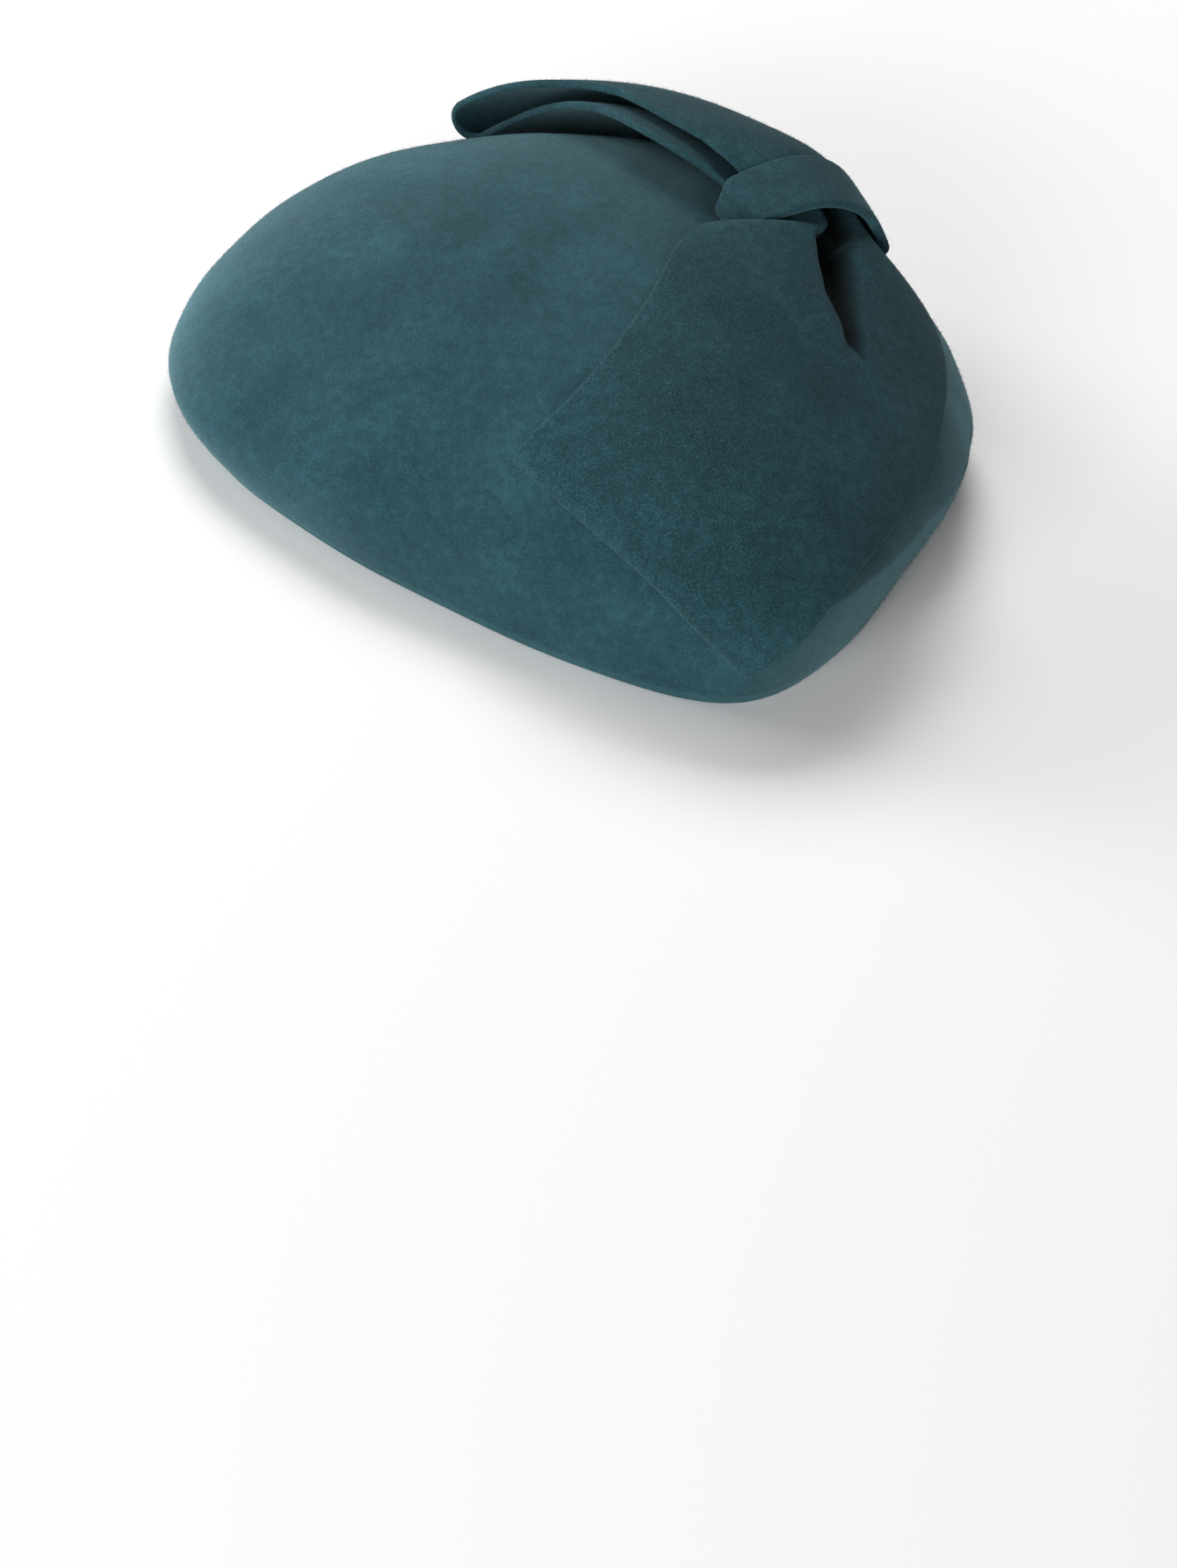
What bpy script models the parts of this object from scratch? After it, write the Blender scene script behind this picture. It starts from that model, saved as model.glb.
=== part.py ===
"""A blocked felt percher hat with a folded felt bow, for Blender 4.5 (metres, +Z up).

The hat stands on its rim, with its blunt point towards -Y. Everything is the same wool felt:
the crown is one hollow blocked shell, the bow is one flat strip joined into a ring and folded
into two loops, and a narrow band wraps the waist of the bow.

The bow is laid out on a map of the crown: distances in the map are measured along the felt
from the crown's middle, so a place on the bow is an across, an along and a lift off the felt.
"""

import math
from collections import namedtuple

import bpy
import numpy as np

# Driving dimensions
FELT = 0.0018            # thickness of the felt
RIM_REACH = 0.088        # from the crown's middle line to the rim where the hat is widest
HEIGHT = 0.063           # rim to the top of the crown
GIRTH_HEIGHT = 0.022     # rim to the fullest line of the side, at the point
TUCK = 0.008             # how far the side turns in from the fullest line to the rim
CROWN_SET_BACK = 0.017   # the top of the crown lies this far behind the rim's middle
DOME_POWER = 1.28        # 1 is an elliptical dome, more is a flatter shoulder

STRIP_WIDTH = 0.075      # cut width of the bow's felt strip
NEAR_REACH = 0.108       # knot to the fold of the loop that lies over the point
FAR_REACH = 0.088        # knot to the fold of the loop that goes over the back
PUFF = 0.009             # how far the gathered felt stands up at the knot
BAND_WIDTH = 0.014       # width of the knot band
PLEAT_DEPTH = 0.005      # depth of the pleat that runs out from under the band
PLEAT_WIDTH = 0.0035

SEAT = 0.0013            # clearance between the crown and what lies on it
CLEAR = 0.0006           # clearance between two layers of the bow

# Where the knot sits, as shares of RIM_REACH from the crown's middle, and how it is turned
KNOT_ACROSS, KNOT_ALONG, KNOT_TURN = 0.403, -0.153, math.radians(14.4)

# Rim, side and girth by direction, measured from the point. Both sides are alike.
# reach is a share of RIM_REACH, tuck of TUCK and girth of GIRTH_HEIGHT.
Direction = namedtuple("Direction", "turn reach tuck girth")
CROWN_PLAN = (
    Direction(0, 1.065, 0.35, 1.00),
    Direction(15, 0.990, 0.38, 0.98),
    Direction(30, 0.910, 0.42, 0.94),
    Direction(45, 0.865, 0.50, 0.88),
    Direction(60, 0.870, 0.72, 0.82),
    Direction(75, 0.905, 0.86, 0.74),
    Direction(90, 0.970, 1.04, 0.58),
    Direction(105, 0.995, 1.16, 0.46),
    Direction(120, 0.985, 1.20, 0.38),
    Direction(140, 0.940, 1.14, 0.34),
    Direction(160, 0.880, 1.04, 0.32),
    Direction(180, 0.840, 1.00, 0.32),
)

# Sections of the bow from the waist (run 0) to a fold (run 1). across and along place the
# section's middle, as shares of the loop's reach; width is a share of STRIP_WIDTH; swing turns
# the section, in degrees; bands counts the layers of band beneath; under, open and crest are
# the space below the strip's left edge, between its two layers and in its arch, as shares of
# PUFF. The right edge lies on the crown.
Section = namedtuple("Section", "run across along width swing bands under open crest")
WAIST = Section(0.0, 0.045, 0.0, 0.42, 0, 1.0, 0.0, 0.18, 0.66)
NEAR_LOOP = (
    Section(0.08, 0.045, -0.075, 0.46, -2, 1.0, 0.00, 0.20, 0.62),
    Section(0.16, 0.01, -0.150, 0.74, -10, 0.6, 0.00, 0.30, 0.50),
    Section(0.30, -0.09, -0.280, 0.97, -25, 0.2, 0.00, 0.38, 0.36),
    Section(0.50, -0.26, -0.435, 0.99, -37, 0.0, 0.00, 0.36, 0.24),
    Section(0.70, -0.45, -0.545, 0.97, -49, 0.0, 0.04, 0.34, 0.16),
    Section(0.85, -0.60, -0.605, 0.97, -58, 0.0, 0.10, 0.32, 0.08),
    Section(1.00, -0.73, -0.645, 1.00, -67, 0.0, 0.16, 0.30, 0.00),
)
FAR_LOOP = (
    Section(0.08, 0.050, 0.096, 0.44, 0, 1.0, 0.10, 0.22, 0.70),
    Section(0.16, 0.045, 0.182, 0.56, 2, 0.8, 0.30, 0.30, 0.56),
    Section(0.30, 0.045, 0.342, 0.70, 4, 0.2, 0.45, 0.38, 0.36),
    Section(0.50, 0.085, 0.560, 0.82, 6, 0.0, 0.42, 0.40, 0.20),
    Section(0.70, 0.100, 0.750, 0.92, 7, 0.0, 0.36, 0.40, 0.12),
    Section(0.85, 0.095, 0.885, 0.98, 7, 0.0, 0.28, 0.38, 0.06),
    Section(1.00, 0.085, 1.000, 1.00, 7, 0.0, 0.18, 0.36, 0.00),
)
PLEAT_ACROSS = 0.20      # where the pleat lies, as a share of half the strip's width
PLEAT_RUN, PLEAT_SPAN = 0.23, 0.19

# Mesh fineness
CROWN_TURNS, SIDE_ROWS, DOME_ROWS = 60, 4, 11
RUN_STEPS, FOLD_STEPS, STRIP_COLUMNS = 14, 5, 16
BAND_STEPS, BAND_COLUMNS = 60, 3
MERIDIAN_STEPS = 61

FELT_TEAL = (0.030, 0.090, 0.105, 1.0)


def spline(knots, values, at):
    """Natural cubic spline through (knots, values), read at the places in at."""
    knots, values = np.asarray(knots, float), np.asarray(values, float)
    gaps, slopes = np.diff(knots), np.diff(values) / np.diff(knots)
    count = len(knots)
    system, right = np.eye(count), np.zeros(count)
    for i in range(1, count - 1):
        system[i, i - 1:i + 2] = gaps[i - 1], 2 * (gaps[i - 1] + gaps[i]), gaps[i]
        right[i] = 6 * (slopes[i] - slopes[i - 1])
    bend = np.linalg.solve(system, right)
    at = np.asarray(at, float)
    k = np.clip(np.searchsorted(knots, at) - 1, 0, count - 2)
    ahead, behind, gap = knots[k + 1] - at, at - knots[k], gaps[k]
    return (bend[k] * ahead ** 3 / (6 * gap) + bend[k + 1] * behind ** 3 / (6 * gap)
            + (values[k] / gap - bend[k] * gap / 6) * ahead
            + (values[k + 1] / gap - bend[k + 1] * gap / 6) * behind)


def around(column, turn):
    """A column of CROWN_PLAN at any direction: both sides of the point are alike."""
    half = [(row.turn, getattr(row, column)) for row in CROWN_PLAN]
    ring = half + [(360 - t, v) for t, v in reversed(half[1:-1])]
    knots = [t + lap for lap in (-360, 0, 360) for t, _ in ring]
    values = [v for _ in range(3) for _, v in ring]
    return spline(knots, values, np.mod(np.degrees(turn), 360))


def crown_point(turn, climb):
    """Outside of the crown: climb 0 is the rim, 1 the girth and 2 the top."""
    turn, climb = np.broadcast_arrays(np.asarray(turn, float), np.asarray(climb, float))
    tuck = TUCK * around("tuck", turn)
    girth = GIRTH_HEIGHT * around("girth", turn)
    full = RIM_REACH * around("reach", turn) + tuck
    side, dome = np.clip(climb, 0, 1), np.clip(climb - 1, 0, 1) * math.pi / 2
    rise = np.sin(dome) ** DOME_POWER
    radius = (full - tuck * (1 - side) ** 2) * np.cos(dome)
    height = girth * side + (HEIGHT - girth) * rise
    return np.stack([radius * np.sin(turn), CROWN_SET_BACK * rise - radius * np.cos(turn), height], -1)


def on_map(x, y):
    """The crown's outside at a place on the map, measured along the felt from its middle."""
    x, y = np.atleast_1d(x), np.atleast_1d(y)
    turn, distance = np.arctan2(x, -y), np.hypot(x, y)
    climbs = np.linspace(2, 0, MERIDIAN_STEPS)
    line = crown_point(turn[:, None], climbs[None, :])
    steps = np.linalg.norm(np.diff(line, axis=1), axis=2)
    walked = np.concatenate([np.zeros((len(x), 1)), np.cumsum(steps, axis=1)], axis=1)
    place = np.array([np.interp(d, w, climbs) for d, w in zip(distance, walked)])
    past = np.maximum(distance - walked[:, -1], 0)[:, None]
    ahead = (line[:, -1] - line[:, -2]) / steps[:, -1:]
    return crown_point(turn, place) + past * ahead


def above_crown(x, y, lift):
    """A point lift above the felt, at a place on the map."""
    x, y, lift = (np.asarray(a, float).ravel() for a in np.broadcast_arrays(x, y, lift))
    step = FELT
    over = on_map(x + step, y) - on_map(x - step, y)
    up = on_map(x, y + step) - on_map(x, y - step)
    normal = np.cross(over, up)
    normal /= np.linalg.norm(normal, axis=1, keepdims=True)
    return on_map(x, y) + lift[:, None] * normal


def from_knot(across, along):
    """Map place of a point given from the knot, along and across its own axis."""
    c, s = math.cos(KNOT_TURN), math.sin(KNOT_TURN)
    x = KNOT_ACROSS * RIM_REACH + across * c - along * s
    y = KNOT_ALONG * RIM_REACH + across * s + along * c
    return x, y


def bow_column(name, run):
    """One column of the bow's tables, with the near loop at negative runs."""
    rows = [(-row.run, row, NEAR_REACH) for row in reversed(NEAR_LOOP)]
    rows += [(0.0, WAIST, NEAR_REACH)]
    rows += [(row.run, row, FAR_REACH) for row in FAR_LOOP]
    scale = name in ("across", "along")
    values = [getattr(row, name) * (reach if scale else 1) for _, row, reach in rows]
    return spline([run_ for run_, _, _ in rows], values, run)


def strip_layer(run, share, upper):
    """Place and lift of a strip layer's middle surface, given from the knot."""
    run, share = np.broadcast_arrays(np.asarray(run, float), np.asarray(share, float))
    half = bow_column("width", run) * STRIP_WIDTH / 2
    swing = np.radians(bow_column("swing", run))
    across = bow_column("across", run) + share * half * np.cos(swing)
    along = bow_column("along", run) + share * half * np.sin(swing)
    bands = np.clip(bow_column("bands", run), 0, 1) * (FELT + CLEAR)
    low = SEAT + FELT / 2 + bands + PUFF * np.maximum(bow_column("under", run), 0) * (1 - share) / 2
    if not upper:
        return across, along, low
    arch = PUFF * np.maximum(bow_column("crest", run), 0) * (1 - share ** 2)
    high = low + FELT + CLEAR + PUFF * bow_column("open", run) + arch
    pleat = PLEAT_DEPTH * np.exp(-((share - PLEAT_ACROSS) * half / PLEAT_WIDTH) ** 2
                                 - ((run + PLEAT_RUN) / PLEAT_SPAN) ** 4)
    return across, along, np.maximum(high - pleat, low + FELT + CLEAR)


def fold_rows(end, shares):
    """The turn from one layer to the other at a loop's fold, given from the knot."""
    across, along, low = strip_layer(end, shares, False)
    _, _, high = strip_layer(end, shares, True)
    swing = math.radians(float(bow_column("swing", end)))
    heading = np.array([-math.sin(swing), math.cos(swing)]) * math.copysign(1, end)
    for step in range(1, FOLD_STEPS):
        angle = math.pi * (0.5 - step / FOLD_STEPS)
        out, lift = (high - low) / 2 * math.cos(angle), (high + low) / 2 + (high - low) / 2 * math.sin(angle)
        yield across + out * heading[0], along + out * heading[1], lift


def thicken(middle, thickness, closed_along=True):
    """Outer and inner grids half a thickness either side of a grid of middle points."""
    if closed_along:
        forward = np.roll(middle, -1, axis=0) - np.roll(middle, 1, axis=0)
    else:
        forward = np.gradient(middle, axis=0)
    sideways = np.gradient(middle, axis=1)
    normal = np.cross(sideways, forward)
    normal /= np.linalg.norm(normal, axis=2, keepdims=True)
    return middle + normal * thickness / 2, middle - normal * thickness / 2


def ring_solid(name, middle, thickness):
    """A closed solid from a grid whose rows go round a ring and whose columns cross it."""
    outer, inner = thicken(middle, thickness)
    rows, columns = middle.shape[:2]
    loop = np.concatenate([outer, inner[:, ::-1]], axis=1).reshape(-1, 3)
    wide = 2 * columns
    faces = [(i * wide + j, i * wide + (j + 1) % wide,
              (i + 1) % rows * wide + (j + 1) % wide, (i + 1) % rows * wide + j)
             for i in range(rows) for j in range(wide)]
    return make_object(name, loop, faces)


def crown_solid():
    """The blocked crown: a hollow shell with a flat rim edge, open below."""
    turns = np.linspace(0, 2 * math.pi, CROWN_TURNS, endpoint=False)
    side = np.linspace(0, 1, SIDE_ROWS + 1)
    dome = 1 + np.linspace(0, 1, DOME_ROWS + 1)[1:-1] ** 0.9
    climbs = np.concatenate([side, dome])
    grid_turn, grid_climb = np.meshgrid(turns, climbs)
    outer = crown_point(grid_turn, grid_climb)
    step = 1e-3
    forward = crown_point(grid_turn + step, grid_climb) - crown_point(grid_turn - step, grid_climb)
    upward = crown_point(grid_turn, grid_climb + step) - crown_point(grid_turn, np.maximum(grid_climb - step, 0))
    normal = np.cross(forward, upward)
    normal /= np.linalg.norm(normal, axis=2, keepdims=True)
    inner = outer - FELT * normal
    level = normal[0].copy()
    level[:, 2] = 0
    inner[0] = outer[0] - FELT * level / np.sum(level ** 2, axis=1, keepdims=True)
    rows = len(climbs)
    ring = CROWN_TURNS
    top = np.array([[0, CROWN_SET_BACK, HEIGHT], [0, CROWN_SET_BACK, HEIGHT - FELT]])
    points = np.concatenate([outer.reshape(-1, 3), inner.reshape(-1, 3), top])
    inside, apex = rows * ring, 2 * rows * ring
    faces = []
    for j in range(ring):
        k = (j + 1) % ring
        for i in range(rows - 1):
            low, high = i * ring, (i + 1) * ring
            faces.append((low + j, low + k, high + k, high + j))
            faces.append((inside + low + k, inside + low + j, inside + high + j, inside + high + k))
        last = (rows - 1) * ring
        faces.append((last + j, last + k, apex))
        faces.append((inside + last + k, inside + last + j, apex + 1))
        faces.append((k, j, inside + j, inside + k))
    return make_object("crown", points, faces)


def bow_solid():
    """The bow: one strip of felt, joined into a ring and folded into two loops."""
    shares = np.linspace(-1, 1, STRIP_COLUMNS)
    runs = np.linspace(-1, 1, 2 * RUN_STEPS + 1)
    rows = [strip_layer(run, shares, True) for run in runs]
    rows += fold_rows(1.0, shares)
    rows += [strip_layer(run, shares, False) for run in runs[::-1]]
    rows += reversed(list(fold_rows(-1.0, shares)))
    grid = [above_crown(*from_knot(across, along), lift) for across, along, lift in rows]
    return ring_solid("bow_strip", np.array(grid), FELT)


def section_corners(run):
    """The outside of the strip's two layers in one section, each from the knot."""
    shares = np.linspace(-1, 1, STRIP_COLUMNS)
    corners = []
    for upper, side in ((True, 1), (False, -1)):
        across, along, lift = strip_layer(run, shares, upper)
        tilt = np.arctan2(np.gradient(lift), np.gradient(across))
        reach = side * FELT / 2
        corners += list(zip(across - reach * np.sin(tilt), along, lift + reach * np.cos(tilt)))
    return corners


def band_path():
    """The band's line round the waist of the bow, as places across and lifts."""
    runs = np.linspace(-0.5, 0.5, 101)
    corners = np.array([corner for run in runs for corner in section_corners(run)])
    covered = np.abs(corners[:, 1]) <= BAND_WIDTH / 2 + FELT
    points = corners[covered][:, [0, 2]]
    angles = np.linspace(0, 2 * math.pi, 241)
    out = np.stack([np.cos(angles), np.sin(angles)], 1)
    wrapped = points[np.argmax(out @ points.T, axis=1)] + out * (CLEAR + FELT / 2)
    walked = np.concatenate([[0], np.cumsum(np.linalg.norm(np.diff(wrapped, axis=0), axis=1))])
    at = np.linspace(0, walked[-1], BAND_STEPS, endpoint=False)
    return np.interp(at, walked, wrapped[:, 0]), np.interp(at, walked, wrapped[:, 1])


def band_solid():
    """The knot band: a narrow strip wrapped once round the waist of the bow."""
    across, lift = band_path()
    widths = np.linspace(0.5, -0.5, BAND_COLUMNS) * BAND_WIDTH
    grid = np.array([[above_crown(*from_knot(a, w), h)[0] for w in widths] for a, h in zip(across, lift)])
    return ring_solid("knot_band", grid, FELT)


def felt_material(name):
    """Teal wool felt, matt."""
    material = bpy.data.materials.new(name)
    material.use_nodes = True
    shader = material.node_tree.nodes["Principled BSDF"]
    shader.inputs["Base Color"].default_value = FELT_TEAL
    shader.inputs["Roughness"].default_value = 0.95
    shader.inputs["Metallic"].default_value = 0.0
    return material


def make_object(name, points, faces):
    """A named object from points and faces, smooth shaded, with its own felt material."""
    mesh = bpy.data.meshes.new(name)
    mesh.from_pydata([tuple(p) for p in points], [], faces)
    mesh.validate()
    mesh.materials.append(felt_material(name + "_felt"))
    mesh.shade_smooth()
    mesh.set_sharp_from_angle(angle=math.radians(50))
    item = bpy.data.objects.new(name, mesh)
    bpy.context.scene.collection.objects.link(item)
    return item


def rest_on_origin(items):
    """Moves the hat so that the middle of its box's bottom is the origin."""
    corners = np.array([v.co for item in items for v in item.data.vertices])
    low, high = corners.min(axis=0), corners.max(axis=0)
    shift = np.array([(low[0] + high[0]) / 2, (low[1] + high[1]) / 2, low[2]])
    for item in items:
        for vertex in item.data.vertices:
            vertex.co = np.array(vertex.co) - shift


def main():
    """Builds the three pieces of the hat."""
    for item in list(bpy.data.objects):
        bpy.data.objects.remove(item, do_unlink=True)
    rest_on_origin([crown_solid(), bow_solid(), band_solid()])


main()
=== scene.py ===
"""Looks for a blocked velour felt percher hat with a folded felt bow (Blender 4.5, metres, +Z up).

The hat stands on its rim with its blunt point towards -Y. Three pieces of one felt are made here
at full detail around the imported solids: the crown, the bow's folded strip and the knot band. Each
gets its raised nap as fine fibres, from a Geometry Nodes tree.
"""

import logging
import math
from collections.abc import Sequence
from dataclasses import dataclass, field
from enum import Enum
from typing import NamedTuple

import bpy
import numpy as np
from mathutils import Matrix, Vector

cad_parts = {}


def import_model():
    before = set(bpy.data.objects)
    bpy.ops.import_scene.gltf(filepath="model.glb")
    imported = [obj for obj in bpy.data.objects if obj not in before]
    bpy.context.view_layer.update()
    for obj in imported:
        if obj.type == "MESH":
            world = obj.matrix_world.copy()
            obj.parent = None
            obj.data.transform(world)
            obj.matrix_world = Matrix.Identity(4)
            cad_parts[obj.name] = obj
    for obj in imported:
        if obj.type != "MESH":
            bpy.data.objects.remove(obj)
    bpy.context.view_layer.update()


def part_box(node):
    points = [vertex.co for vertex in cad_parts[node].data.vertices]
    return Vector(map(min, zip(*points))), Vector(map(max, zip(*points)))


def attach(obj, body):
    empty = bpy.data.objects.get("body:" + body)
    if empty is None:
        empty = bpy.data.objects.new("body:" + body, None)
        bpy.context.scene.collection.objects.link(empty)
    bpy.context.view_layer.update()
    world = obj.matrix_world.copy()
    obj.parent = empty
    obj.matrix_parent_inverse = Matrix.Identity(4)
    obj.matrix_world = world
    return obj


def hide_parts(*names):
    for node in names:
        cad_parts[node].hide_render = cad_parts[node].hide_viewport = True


LOG = logging.getLogger("hat")
ROOT = "root"
MM = 0.001
# Share of the fibres' colour that a raw-cut edge of the bow or the band shows.
CUT_PALENESS = 0.04


class Face(Enum):
    """Which layer of the folded strip a section belongs to."""

    UPPER = "upper"
    LOWER = "lower"


class Direction(NamedTuple):
    """The crown seen in one direction from the point: shares of rim reach, tuck and girth height."""

    turn: float
    reach: float
    tuck: float
    girth: float


class Section(NamedTuple):
    """One section across the bow, from the waist (run 0) to a fold (run 1).

    Its middle's place is in shares of the loop's reach and its width in shares of the strip's. Its
    swing is in degrees. The last four say how many thicknesses of band lie under it, and how far the
    lower layer is lifted, the two layers part and the upper one arches, in shares of the puff.
    """

    run: float
    across: float
    along: float
    width: float
    swing: float
    bands: float
    under: float
    open: float
    crest: float


class Pleat(NamedTuple):
    """The pleat where the near loop goes under the knot: its middle across the strip and its half width."""

    run: float
    middle: float
    half_width: float
    depth: float


class AreaLight(NamedTuple):
    """A soft square light: where it stands and faces, its side in metres and its watts."""

    name: str
    place: tuple[float, float, float]
    aim: tuple[float, float, float]
    size: float
    power: float


CROWN_PLAN = (
    Direction(0, 1.065, 0.35, 1.00),
    Direction(15, 0.990, 0.38, 0.98),
    Direction(30, 0.910, 0.42, 0.94),
    Direction(45, 0.865, 0.50, 0.88),
    Direction(60, 0.870, 0.72, 0.82),
    Direction(75, 0.905, 0.86, 0.74),
    Direction(90, 0.970, 1.04, 0.58),
    Direction(105, 0.995, 1.16, 0.46),
    Direction(120, 0.985, 1.20, 0.38),
    Direction(140, 0.940, 1.14, 0.34),
    Direction(160, 0.880, 1.04, 0.32),
    Direction(180, 0.840, 1.00, 0.32),
)
WAIST = Section(0.0, 0.047, 0.0, 0.36, 0, 1.0, 0.0, 0.18, 0.66)
NEAR_LOOP = (
    Section(0.08, 0.040, -0.082, 0.44, -4, 1.0, 0.00, 0.20, 0.62),
    Section(0.13, 0.010, -0.110, 0.68, -12, 0.8, 0.00, 0.28, 0.54),
    Section(0.18, -0.010, -0.150, 0.85, -17, 0.5, 0.00, 0.32, 0.48),
    Section(0.30, -0.095, -0.278, 0.98, -25, 0.2, 0.00, 0.38, 0.36),
    Section(0.50, -0.26, -0.435, 0.99, -37, 0.0, 0.00, 0.36, 0.24),
    Section(0.70, -0.45, -0.545, 0.97, -49, 0.0, 0.04, 0.34, 0.16),
    Section(0.85, -0.60, -0.605, 0.97, -58, 0.0, 0.10, 0.32, 0.08),
    Section(1.00, -0.748, -0.653, 1.00, -69, 0.0, 0.16, 0.30, 0.00),
)
FAR_LOOP = (
    Section(0.08, 0.051, 0.096, 0.39, 0, 1.0, 0.14, 0.20, 0.70),
    Section(0.16, 0.070, 0.182, 0.60, 2, 0.8, 0.48, 0.14, 0.54),
    Section(0.30, 0.075, 0.342, 0.76, 4, 0.2, 0.72, 0.08, 0.34),
    Section(0.50, 0.098, 0.560, 0.84, 6, 0.0, 0.66, 0.16, 0.18),
    Section(0.70, 0.100, 0.750, 0.92, 7, 0.0, 0.38, 0.38, 0.08),
    Section(0.85, 0.095, 0.878, 0.98, 6, 0.0, 0.14, 0.54, 0.04),
    Section(1.00, 0.085, 0.970, 1.00, 5, 0.0, 0.04, 0.56, 0.00),
)
PLEAT = (
    Pleat(-0.02, -0.02, 4.0 * MM, 1.00),
    Pleat(0.06, -0.06, 4.2 * MM, 1.00),
    Pleat(0.15, -0.07, 4.6 * MM, 1.00),
    Pleat(0.22, -0.04, 4.8 * MM, 1.00),
    Pleat(0.29, 0.02, 4.4 * MM, 0.95),
    Pleat(0.34, 0.13, 3.2 * MM, 0.65),
    Pleat(0.40, 0.24, 2.4 * MM, 0.00),
)
# How far the far loop's upper layer has slid off the lower one, by run.
SLIDE = ((0.05, 0), (0.2, 1), (0.45, 1), (0.7, 0))
# How far the far loop's lower layer is tucked under its upper one, by run.
TUCK = ((0.5, 0), (0.8, 0.8), (1.0, 1))
LIGHTS = (
    AreaLight("back_above", (0.05, 0.9, 1.15), (0, 0, 0), 0.8, 15),
    AreaLight("front_left", (-1.3, -1.5, 0.45), (0, 0, 0.03), 1.0, 48),
    AreaLight("back_left", (-1.25, 0.9, 0.5), (0, 0, 0.03), 1.0, 18),
)


def linear(code: str) -> tuple[float, float, float, float]:
    """Turns an sRGB hex value into a linear colour.

    Args:
        code: Six hex digits with a leading #.

    Returns:
        Linear red, green and blue, and an alpha of 1.
    """
    shares = [int(code[i:i + 2], 16) / 255 for i in (1, 3, 5)]
    return (*(c / 12.92 if c <= 0.04045 else ((c + 0.055) / 1.055) ** 2.4 for c in shares), 1.0)


def spline(knots: Sequence[float], values: Sequence[float], at: np.ndarray) -> np.ndarray:
    """Reads a natural cubic spline.

    Args:
        knots: Rising places.
        values: The value at each knot.
        at: Places to read.

    Returns:
        The spline's value at each place.
    """
    knots, values = np.asarray(knots, float), np.asarray(values, float)
    gaps, slopes = np.diff(knots), np.diff(values) / np.diff(knots)
    count = len(knots)
    system, right = np.eye(count), np.zeros(count)
    for i in range(1, count - 1):
        system[i, i - 1:i + 2] = gaps[i - 1], 2 * (gaps[i - 1] + gaps[i]), gaps[i]
        right[i] = 6 * (slopes[i] - slopes[i - 1])
    bend = np.linalg.solve(system, right)
    at = np.asarray(at, float)
    k = np.clip(np.searchsorted(knots, at) - 1, 0, count - 2)
    ahead, behind, gap = knots[k + 1] - at, at - knots[k], gaps[k]
    return (bend[k] * ahead ** 3 / (6 * gap) + bend[k + 1] * behind ** 3 / (6 * gap)
            + (values[k] / gap - bend[k] * gap / 6) * ahead
            + (values[k + 1] / gap - bend[k + 1] * gap / 6) * behind)


def unit(vectors: np.ndarray) -> np.ndarray:
    """Vectors along the last axis, scaled to length one."""
    return vectors / np.maximum(np.linalg.norm(vectors, axis=-1, keepdims=True), 1e-12)


def grid_faces(rows: int, columns: int, ring_rows: bool, ring_columns: bool) -> list[tuple[int, ...]]:
    """Quads over a grid of vertices numbered row by row.

    Args:
        rows: Number of rows.
        columns: Number of columns.
        ring_rows: True if the last row joins the first.
        ring_columns: True if the last column joins the first.

    Returns:
        The faces as vertex numbers.
    """
    faces = []
    for i in range(rows if ring_rows else rows - 1):
        for j in range(columns if ring_columns else columns - 1):
            up, over = (i + 1) % rows, (j + 1) % columns
            faces.append((i * columns + j, i * columns + over, up * columns + over, up * columns + j))
    return faces


def new_piece(name: str, points: np.ndarray, faces: list[tuple[int, ...]], edge: np.ndarray,
              nap: np.ndarray, painted_shade: np.ndarray) -> bpy.types.Object:
    """Makes a smooth-shaded mesh object at the origin.

    Args:
        name: The piece's name.
        points: Vertex places in metres.
        faces: Faces as vertex numbers.
        edge: How near each vertex is to a cut edge, 0 to 1.
        nap: How thickly the nap stands at each vertex, 0 to 1.
        painted_shade: Painted shade at each vertex, by how deep it lies in a hollow, 0 to 1.

    Returns:
        The object, linked to the scene.
    """
    mesh = bpy.data.meshes.new(name)
    mesh.from_pydata(points.tolist(), [], faces)
    mesh.validate()
    for label, values in (("cut_edge", edge), ("nap_cover", nap), ("painted_shade", painted_shade)):
        layer = mesh.attributes.new(label, "FLOAT", "POINT")
        layer.data.foreach_set("value", np.asarray(values, dtype=np.float32).ravel())
    mesh.shade_smooth()
    piece = bpy.data.objects.new(name, mesh)
    bpy.context.scene.collection.objects.link(piece)
    return piece


def add_node(tree: bpy.types.NodeTree, kind: str, settings: dict | None = None,
             **sockets: object) -> bpy.types.Node:
    """Adds a node with its settings, values and links.

    Args:
        tree: The tree that gets the node.
        kind: The node's type name.
        settings: Node properties by name.
        **sockets: Inputs by name, with _ for a space; a socket is linked and anything else is set. A
            name such as in_1 gives the input's number instead.

    Returns:
        The node.
    """
    node = tree.nodes.new(kind)
    for name, value in (settings or {}).items():
        setattr(node, name, value)
    for name, value in sockets.items():
        key = int(name[3:]) if name.startswith("in_") else name.replace("_", " ")
        socket = node.inputs[key]
        if isinstance(value, bpy.types.NodeSocket):
            tree.links.new(value, socket)
        else:
            socket.default_value = value
    return node


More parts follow.
